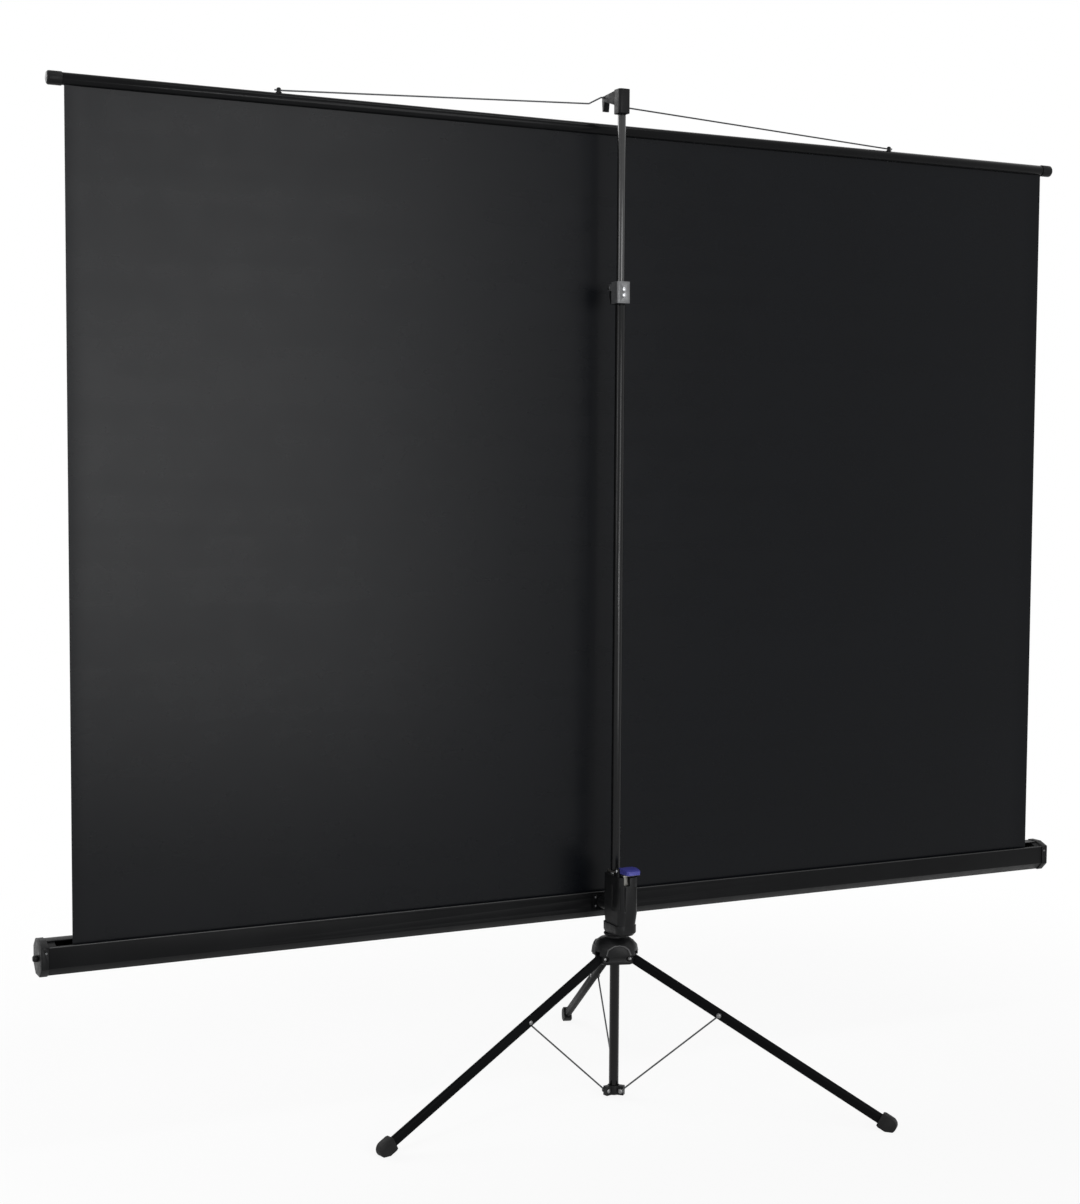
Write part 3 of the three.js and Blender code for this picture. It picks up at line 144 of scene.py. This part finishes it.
def black_paint(name, specular, rough):
    """Powder coat: a fine orange peel, with long faint rub marks on the tubes."""
    colour = (0.0046, 0.0048, 0.0052)
    made = Surface(name, colour, sum(rough) / 2, specular=specular)
    made.colour_from(made.noise(7.0, 4.0), colour, 0.8, 1.25)
    rubs = made.noise(90.0, 3.0, (1.0, 1.0, 0.03))
    made.roughness_from(made.mean(made.noise(60.0, 3.0), rubs), *rough)
    made.bump(made.noise(900.0, 2.0), 0.10, 0.0002)
    return made.material


def grey_enamel():
    """Silver grey enamel with a fleck in it, on the lock."""
    colour = (0.120, 0.122, 0.126)
    made = Surface("lock_metal", colour, 0.34, metallic=0.25, specular=0.5)
    made.colour_from(made.noise(45.0, 4.0), colour, 0.8, 1.15)
    made.roughness_from(made.noise(300.0, 3.0), 0.26, 0.42)
    made.bump(made.noise(1200.0, 2.0), 0.08, 0.0001)
    return made.material


def black_plastic(name, specular):
    """Moulded charcoal plastic with a fine spark-eroded grain."""
    colour = (0.0056, 0.0058, 0.0062)
    made = Surface(name, colour, 0.42, specular=specular)
    made.colour_from(made.noise(25.0, 4.0), colour, 0.8, 1.3)
    made.roughness_from(made.noise(120.0, 3.0), 0.36, 0.52)
    made.bump(made.noise(1600.0, 2.0), 0.16, 0.0002)
    return made.material


def rubber():
    colour = (0.0055, 0.0055, 0.0056)
    made = Surface("rubber", colour, 0.65, specular=0.18)
    made.colour_from(made.noise(40.0, 5.0), colour, 0.75, 1.7, end=0.75)
    made.roughness_from(made.noise(90.0, 3.0), 0.55, 0.75)
    made.bump(made.noise(700.0, 3.0), 0.2, 0.0003)
    return made.material


def plated_steel(name, colour, rough):
    made = Surface(name, colour, 0.3, metallic=1.0)
    made.colour_from(made.noise(30.0, 4.0), colour, 0.82, 1.08)
    made.roughness_from(made.noise(220.0, 3.0), *rough)
    made.bump(made.noise(800.0, 2.0), 0.05, 0.0001)
    return made.material


def blue_plastic():
    colour = (0.046, 0.048, 0.250)
    made = Surface("blue_plastic", colour, 0.4, specular=0.35)
    made.colour_from(made.noise(40.0, 3.0), colour, 0.86, 1.1)
    made.roughness_from(made.noise(150.0, 3.0), 0.32, 0.46)
    made.bump(made.noise(1500.0, 2.0), 0.10, 0.0002)
    return made.material


THREADS_SCALE = 420.0
ROUGHNESS_SPREAD = 0.03


def woven(name, colour, rough, specular, sheen, mottle):
    """Coated screen cloth: a fine plain weave under the coat, with faint roller marks."""
    made = Surface(name, colour, rough, specular=specular)
    made.shader.inputs["Sheen Weight"].default_value = sheen
    made.shader.inputs["Sheen Roughness"].default_value = 0.5
    made.colour_from(made.noise(3.0, 4.0), colour, 1 - mottle, 1 + mottle)
    streaks = made.noise(6.0, 3.0, (0.15, 1.0, 4.0))
    marks = made.mean(made.noise(14.0, 3.0), streaks)
    made.roughness_from(marks, rough - ROUGHNESS_SPREAD, rough + ROUGHNESS_SPREAD)
    threads = []
    for axis in ("X", "Z"):
        wave = made.node("ShaderNodeTexWave", wave_type="BANDS", bands_direction=axis)
        wave.inputs["Scale"].default_value = THREADS_SCALE
        wave.inputs["Distortion"].default_value = 0.4
        made.link(made.place, wave.inputs["Vector"])
        threads.append(wave.outputs["Fac"])
    weave = made.node("ShaderNodeMath", operation="MULTIPLY")
    made.link(threads[0], weave.inputs[0])
    made.link(threads[1], weave.inputs[1])
    made.bump(weave.outputs["Value"], 0.12, 0.00015)
    return made.material


MATERIALS = {
    "black_paint": black_paint("black_paint", 0.04, (0.36, 0.50)),
    "mast_enamel": black_paint("mast_enamel", 0.19, (0.14, 0.22)),
    "extension_enamel": black_paint("extension_enamel", 0.65, (0.14, 0.22)),
    "bar_enamel": black_paint("bar_enamel", 0.065, (0.16, 0.22)),
    "case_enamel": black_paint("case_enamel", 0.065, (0.34, 0.46)),
    "leg_paint": black_paint("leg_paint", 0.015, (0.36, 0.50)),
    "lip_enamel": black_paint("lip_enamel", 0.45, (0.30, 0.40)),
    "rim_enamel": black_paint("rim_enamel", 0.9, (0.26, 0.36)),
    "black_plastic": black_plastic("black_plastic", 0.15),
    "dull_plastic": black_plastic("dull_plastic", 0.11),
    "rubber": rubber(),
    "zinc": plated_steel("zinc", (0.46, 0.47, 0.485), (0.24, 0.40)),
    "tongue_steel": plated_steel("tongue_steel", (0.215, 0.210, 0.195), (0.34, 0.50)),
    "lock_metal": grey_enamel(),
    "wire": plated_steel("wire", (0.055, 0.057, 0.060), (0.30, 0.42)),
    "stay_steel": plated_steel("stay_steel", (0.085, 0.088, 0.090), (0.34, 0.48)),
    "rivet_steel": plated_steel("rivet_steel", (0.20, 0.20, 0.20), (0.36, 0.50)),
    "blue_plastic": blue_plastic(),
    "fabric_black": woven("fabric_black", (0.0018, 0.0023, 0.0034), 0.28, 0.118, 0.0, 0.1),
    "fabric_white": woven("fabric_white", (0.80, 0.80, 0.79), 0.85, 0.3, 0.05, 0.012),
}

# Nodes whose finish differs from the one their material slot names
FINISH_OF = {"column_tube": "mast_enamel", "extension_tube": "extension_enamel", "top_bar": "bar_enamel",
             "case_shell": "case_enamel", "mast_head": "dull_plastic", "end_cap_left": "dull_plastic",
             "end_cap_right": "dull_plastic", "bar_cap_left": "dull_plastic",
             "bar_cap_right": "dull_plastic", "brake_plate": "tongue_steel", "lock_pin": "stay_steel"}
for side in SIDES:
    FINISH_OF["leg_" + side] = "leg_paint"
    FINISH_OF["stay_" + side] = "stay_steel"
    for rivet in ("leg_pin_", "stay_rivet_", "collar_pin_"):
        FINISH_OF[rivet + side] = "rivet_steel"


# Pieces
# Angles between faces in degrees: shaded smooth below, rounded above, joined as one flat face below
SMOOTH_BELOW = 38.0
BEVEL_ABOVE = 40.0
FACETS_BELOW = 0.6
SAME_POINT = 1e-6            # metres


def add_object(name, mesh):
    piece = bpy.data.objects.new(name, mesh)
    bpy.context.scene.collection.objects.link(piece)
    return piece


def smooth(mesh, degrees=SMOOTH_BELOW):
    for face in mesh.polygons:
        face.use_smooth = True
    mesh.set_sharp_from_angle(angle=math.radians(degrees))


def settle(piece):
    """Applies the piece's modifiers to its mesh."""
    graph = bpy.context.evaluated_depsgraph_get()
    result = bpy.data.meshes.new_from_object(piece.evaluated_get(graph))
    old = piece.data
    piece.modifiers.clear()
    piece.data = result
    bpy.data.meshes.remove(old)


def clean_copy(node):
    """A copy of the CAD solid's mesh, with its flat facets joined."""
    mesh = NODES[node].data.copy()
    mesh.materials.clear()
    mesh.materials.append(MATERIALS[FINISH_OF.get(node, SLOT_OF[node])])
    work = bmesh.new()
    work.from_mesh(mesh)
    bmesh.ops.remove_doubles(work, verts=work.verts, dist=SAME_POINT)
    flat = math.radians(FACETS_BELOW)
    bmesh.ops.dissolve_limit(work, angle_limit=flat, verts=work.verts, edges=work.edges)
    work.to_mesh(mesh)
    work.free()
    return mesh


def round_edges(piece, edge):
    bevel = piece.modifiers.new("edge", "BEVEL")
    bevel.width = edge
    bevel.segments = 2
    bevel.limit_method = "ANGLE"
    bevel.angle_limit = math.radians(BEVEL_ABOVE)
    settle(piece)


def join_frame(piece, node):
    smooth(piece.data)
    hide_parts(node)
    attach(piece, BODY_OF[node])


def dress(node, edge):
    """The CAD solid with its hard edges rounded and its finish on."""
    piece = add_object(node + "_finished", clean_copy(node))
    round_edges(piece, edge)
    join_frame(piece, node)


def add_detail(name, mesh, body, finish):
    mesh.materials.append(MATERIALS[finish])
    piece = add_object(name, mesh)
    smooth(mesh)
    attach(piece, body)


def swept(name, path, radius, sides=8):
    """A round bead along a path, its ends closed."""
    work = bmesh.new()
    turns = [2.0 * math.pi * k / sides for k in range(sides)]
    rings = []
    for i, point in enumerate(path):
        along = (path[min(i + 1, len(path) - 1)] - path[max(i - 1, 0)]).normalized()
        if i == 0:
            across = along.orthogonal().normalized()
        else:
            across = (across - along * across.dot(along)).normalized()
        other = along.cross(across)
        spokes = [across * math.cos(t) + other * math.sin(t) for t in turns]
        rings.append([work.verts.new(point + spoke * radius) for spoke in spokes])
    for near, far in zip(rings, rings[1:]):
        for k in range(sides):
            work.faces.new((near[k], near[(k + 1) % sides], far[(k + 1) % sides], far[k]))
    work.faces.new(rings[0][::-1])
    work.faces.new(rings[-1])
    bmesh.ops.recalc_face_normals(work, faces=work.faces)
    mesh = bpy.data.meshes.new(name)
    work.to_mesh(mesh)
    work.free()
    return mesh


# Rounding of each node's hard edges, in metres
EDGES = {"hub": 0.0014, "carriage_grip": 0.0012, "release_lever": 0.0012, "lock_housing": 0.001,
         "lock_lever": 0.001, "mast_head": 0.0014, "swivel_ring": 0.0008, "case_shell": 0.0010,
         "foot_collar": 0.0008, "end_cap_left": 0.0012, "end_cap_right": 0.0012, "foot_front": 0.0025,
         "foot_right": 0.0025, "foot_left": 0.0025, "bar_cap_left": 0.0012, "bar_cap_right": 0.0012}
DEFAULT_EDGE = 0.0005
SCREWS = [node for node in NODES if "_screw_" in node]
for node in NODES:
    if node != "fabric" and node not in SCREWS:
        dress(node, EDGES.get(node, DEFAULT_EDGE))


# Screws with a cross recess in the head
RECESS_REACH, RECESS_WIDE = 1.25, 0.30     # shares of the head's radius
RECESS_DEPTH = 0.0012
SCREW_EDGE = 0.00015


def cross_cutter(centre, reach, wide, depth):
    work = bmesh.new()
    for size in ((reach, depth, wide), (wide, depth, reach)):
        made = bmesh.ops.create_cube(work, size=1.0)["verts"]
        bmesh.ops.scale(work, vec=size, verts=made)
        bmesh.ops.translate(work, vec=centre, verts=made)
    mesh = bpy.data.meshes.new("cross_cutter")
    work.to_mesh(mesh)
    work.free()
    return add_object("cross_cutter", mesh)


def dress_screw(node):
    low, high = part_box(node)
    centre = (low + high) / 2
    radius = (high.x - low.x) / 2
    head = (centre.x, low.y, centre.z)
    cutter = cross_cutter(head, radius * RECESS_REACH, radius * RECESS_WIDE, RECESS_DEPTH)
    piece = add_object(node + "_finished", clean_copy(node))
    recess = piece.modifiers.new("recess", "BOOLEAN")
    recess.operation = "DIFFERENCE"
    recess.solver = "EXACT"
    recess.use_self = True
    recess.object = cutter
    settle(piece)
    bpy.data.objects.remove(cutter)
    round_edges(piece, SCREW_EDGE)
    join_frame(piece, node)


for node in SCREWS:
    dress_screw(node)


# Raised rim round each flat face of the hub's dome
RIM_RADIUS = 0.0016
RIM_PROUD = 0.0004
RIM_ABOVE = 0.002            # lowest point of the rim above the face's foot
IN_PLANE = 2e-5
COLUMNS_PER_METRE = 1e4      # points within 0.1 mm across count as one column


def hub_rims():
    low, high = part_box("hub")
    axis = (low + high) / 2
    column_low, column_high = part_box("column_tube")
    axis.xy = ((column_low + column_high) / 2).xy
    points = [vertex.co.copy() for vertex in NODES["hub"].data.vertices]
    for side in SIDES:
        foot_low, foot_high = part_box("foot_" + side)
        away = axis - (foot_low + foot_high) / 2
        away.z = 0.0
        away.normalize()
        along = Vector((-away.y, away.x, 0.0))
        reach = max((p - axis).dot(away) for p in points)
        face = [p for p in points if abs((p - axis).dot(away) - reach) < IN_PLANE]
        base = min(p.z for p in face)
        arc = {}
        for p in face:
            column = round((p - axis).dot(along) * COLUMNS_PER_METRE)
            if p.z > base + RIM_ABOVE and (column not in arc or arc[column].z < p.z):
                arc[column] = p
        path = [arc[column] + away * RIM_PROUD for column in sorted(arc)]
        name = "hub_rim_" + side
        add_detail(name, swept(name, path, RIM_RADIUS), "hub", "rim_enamel")


hub_rims()


# Rolled lip along the rear edge of the case's top
LIP_RADIUS = 0.0011
LIP_SIDES = 10
LIP_SHORT = 0.001            # short of each end of the case
LIP_IN, LIP_DOWN = 0.0006, 0.0002
ON_REAR = 1e-5


def case_lip():
    low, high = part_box("case_shell")
    points = [vertex.co.copy() for vertex in NODES["case_shell"].data.vertices]
    edge = max(p.z for p in points if p.y < low.y + ON_REAR)
    ends = (low.x + LIP_SHORT, high.x - LIP_SHORT)
    path = [Vector((x, low.y + LIP_IN, edge - LIP_DOWN)) for x in ends]
    bead = swept("case_lip", path, LIP_RADIUS, LIP_SIDES)
    add_detail("case_lip", bead, "case", "lip_enamel")


case_lip()


# Screen cloth
# On the real screen the cloth winds onto the roller as the bar comes down by the screen_draw travel;
# here the cloth is built once, at its length in model.glb, and rides with the case.
CLOTH_IN_BAR = 0.0007        # runs up into the bar, so no gap shows
CLOTH_THICK = 0.0007
CLOTH_ACROSS, CLOTH_DOWN = 260, 60      # faces
BORDER = 0.035               # black border of the white face
CURL_WIDE = 0.040
WAVE_DEPTH = 0.00035
CLOTH_SMOOTH_BELOW = 60.0


def make_cloth():
    low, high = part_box("fabric")
    top = high.z + CLOTH_IN_BAR
    across, down = CLOTH_ACROSS, CLOTH_DOWN
    half = (high.x - low.x) / 2
    centre = (high.x + low.x) / 2
    middle = high.y - CLOTH_THICK / 2
    curl = (high.y - low.y) - CLOTH_THICK

    def lean(x, z):
        """The edges roll to the rear, and the cloth has very slight waves between them."""
        past = max(0.0, abs(x - centre) - (half - CURL_WIDE)) / CURL_WIDE
        height = (z - low.z) / (high.z - low.z)
        calm = math.sin(math.pi * height)
        ripple = math.sin(9.0 * (x - centre) + 1.3) * math.sin(5.0 * height + 0.4)
        return WAVE_DEPTH * calm * ripple - curl * past * past

    work = bmesh.new()
    grids = []
    for side in (-0.5, 0.5):
        grid = []
        for j in range(down + 1):
            z = low.z + (top - low.z) * j / down
            row = []
            for i in range(across + 1):
                x = low.x + (high.x - low.x) * i / across
                row.append(work.verts.new((x, middle + lean(x, z) + side * CLOTH_THICK, z)))
            grid.append(row)
        grids.append(grid)
    rear, front = grids
    for j in range(down):
        for i in range(across):
            work.faces.new((rear[j][i], rear[j][i + 1], rear[j + 1][i + 1], rear[j + 1][i]))
            face = work.faces.new((front[j][i], front[j + 1][i], front[j + 1][i + 1], front[j][i + 1]))
            middle_x = (front[j][i].co.x + front[j][i + 1].co.x) / 2
            inside = abs(middle_x - centre) < half - BORDER and front[j][i].co.z < high.z - BORDER
            face.material_index = 1 if inside else 0
    for j in range(down):
        work.faces.new((rear[j][0], rear[j + 1][0], front[j + 1][0], front[j][0]))
        work.faces.new((rear[j + 1][across], rear[j][across], front[j][across], front[j + 1][across]))
    for i in range(across):
        work.faces.new((rear[0][i + 1], rear[0][i], front[0][i], front[0][i + 1]))
        work.faces.new((rear[down][i], rear[down][i + 1], front[down][i + 1], front[down][i]))
    mesh = bpy.data.meshes.new("screen_cloth")
    work.to_mesh(mesh)
    work.free()
    mesh.materials.append(MATERIALS["fabric_black"])
    mesh.materials.append(MATERIALS["fabric_white"])
    cloth = add_object("screen_cloth", mesh)
    smooth(mesh, CLOTH_SMOOTH_BELOW)
    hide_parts("fabric")
    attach(cloth, "case")
    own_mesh(cloth)


make_cloth()


# Camera, light and floor
FILL_LEVEL = 0.30            # the white world's light on the object
FLOOR_REACH = 30.0
VEIL_START, VEIL_END = 0.7, 2.4         # metres from the middle
VEIL_NEAR = 0.89             # share of plain white in the floor near the object, which leaves its shadow


def make_camera():
    yaw, pitch, roll = (math.radians(a) for a in (CAMERA_YAW, CAMERA_PITCH, CAMERA_ROLL))
    level = math.cos(pitch)
    forward = Vector((-math.sin(yaw) * level, math.cos(yaw) * level, -math.sin(pitch)))
    right = Vector((math.cos(yaw), math.sin(yaw), 0.0))
    up = right.cross(forward)
    turned_right = right * math.cos(roll) + up * math.sin(roll)
    turned_up = up * math.cos(roll) - right * math.sin(roll)
    axes = Matrix((turned_right, turned_up, -forward)).transposed()
    data = bpy.data.cameras.new("photo_camera")
    data.sensor_fit = "HORIZONTAL"
    data.sensor_width = SENSOR_MM
    data.lens = FOCAL_PIXELS / FRAME_WIDE * SENSOR_MM
    camera = bpy.data.objects.new("photo_camera", data)
    camera.matrix_world = Matrix.Translation(CAMERA_PLACE) @ axes.to_4x4()
    bpy.context.scene.collection.objects.link(camera)
    bpy.context.scene.camera = camera


def area_light(name, place, aim, size, power):
    data = bpy.data.lights.new(name, "AREA")
    data.shape = "RECTANGLE"
    data.size, data.size_y = size
    data.energy = power
    lamp = bpy.data.objects.new(name, data)
    lamp.location = place
    lamp.rotation_euler = (Vector(aim) - Vector(place)).to_track_quat("-Z", "Y").to_euler()
    bpy.context.scene.collection.objects.link(lamp)


def shown_white(tree):
    """1 for rays that show the background: straight, reflected and refracted ones."""
    path = tree.nodes.new("ShaderNodeLightPath")
    found = path.outputs["Is Camera Ray"]
    for name in ("Is Glossy Ray", "Is Transmission Ray"):
        either = tree.nodes.new("ShaderNodeMath")
        either.operation = "MAXIMUM"
        tree.links.new(found, either.inputs[0])
        tree.links.new(path.outputs[name], either.inputs[1])
        found = either.outputs["Value"]
    return found


def make_world():
    world = bpy.data.worlds.new("studio")
    bpy.context.scene.world = world
    world.use_nodes = True
    tree = world.node_tree
    background = tree.nodes["Background"]
    background.inputs["Color"].default_value = (1.0, 1.0, 1.0, 1.0)
    level = tree.nodes.new("ShaderNodeMapRange")
    level.inputs["To Min"].default_value = FILL_LEVEL
    level.inputs["To Max"].default_value = 1.0
    tree.links.new(shown_white(tree), level.inputs["Value"])
    tree.links.new(level.outputs["Result"], background.inputs["Strength"])


def make_floor():
    """Pale floor under the object, which runs out into the white background."""
    mesh = bpy.data.meshes.new("floor")
    reach = FLOOR_REACH
    corners = [(-reach, -reach, 0), (reach, -reach, 0), (reach, reach, 0), (-reach, reach, 0)]
    mesh.from_pydata(corners, [], [(0, 1, 2, 3)])
    floor = add_object("floor", mesh)
    made = Surface("floor", (0.9, 0.9, 0.9), 0.9)
    tree = made.tree
    distance = made.node("ShaderNodeVectorMath", operation="LENGTH")
    made.link(made.place, distance.inputs[0])
    fade = made.node("ShaderNodeMapRange", interpolation_type="SMOOTHSTEP")
    fade.inputs["From Min"].default_value = VEIL_START
    fade.inputs["From Max"].default_value = VEIL_END
    fade.inputs["To Min"].default_value = VEIL_NEAR
    fade.inputs["To Max"].default_value = 1.0
    made.link(distance.outputs["Value"], fade.inputs["Value"])
    veil = made.node("ShaderNodeMath", operation="MULTIPLY")
    made.link(shown_white(tree), veil.inputs[0])
    made.link(fade.outputs["Result"], veil.inputs[1])
    white = made.node("ShaderNodeEmission")
    mix = made.node("ShaderNodeMixShader")
    made.link(veil.outputs["Value"], mix.inputs["Fac"])
    made.link(made.shader.outputs["BSDF"], mix.inputs[1])
    made.link(white.outputs["Emission"], mix.inputs[2])
    made.link(mix.outputs["Shader"], tree.nodes["Material Output"].inputs["Surface"])
    mesh.materials.append(made.material)


make_camera()
make_world()
make_floor()
# Place, aim, size in metres, watts
area_light("key", (0.45, -4.3, 1.6), (0.45, 0.0, 1.2), (1.9, 3.1), 88.0)
area_light("flash", (-0.75, -3.9, 1.30), (-0.3, 0.0, 1.1), (0.35, 0.6), 18.0)
area_light("left", (-4.6, -1.6, 2.6), (-0.6, 0.0, 0.9), (1.2, 2.0), 30.0)
area_light("top", (0.4, -1.6, 4.8), (0.0, 0.0, 0.8), (3.0, 0.6), 34.0)
area_light("front", (-2.6, 3.7, 2.8), (0.0, 0.0, 1.0), (3.0, 2.4), 90.0)

bpy.context.scene.view_settings.view_transform = "Standard"
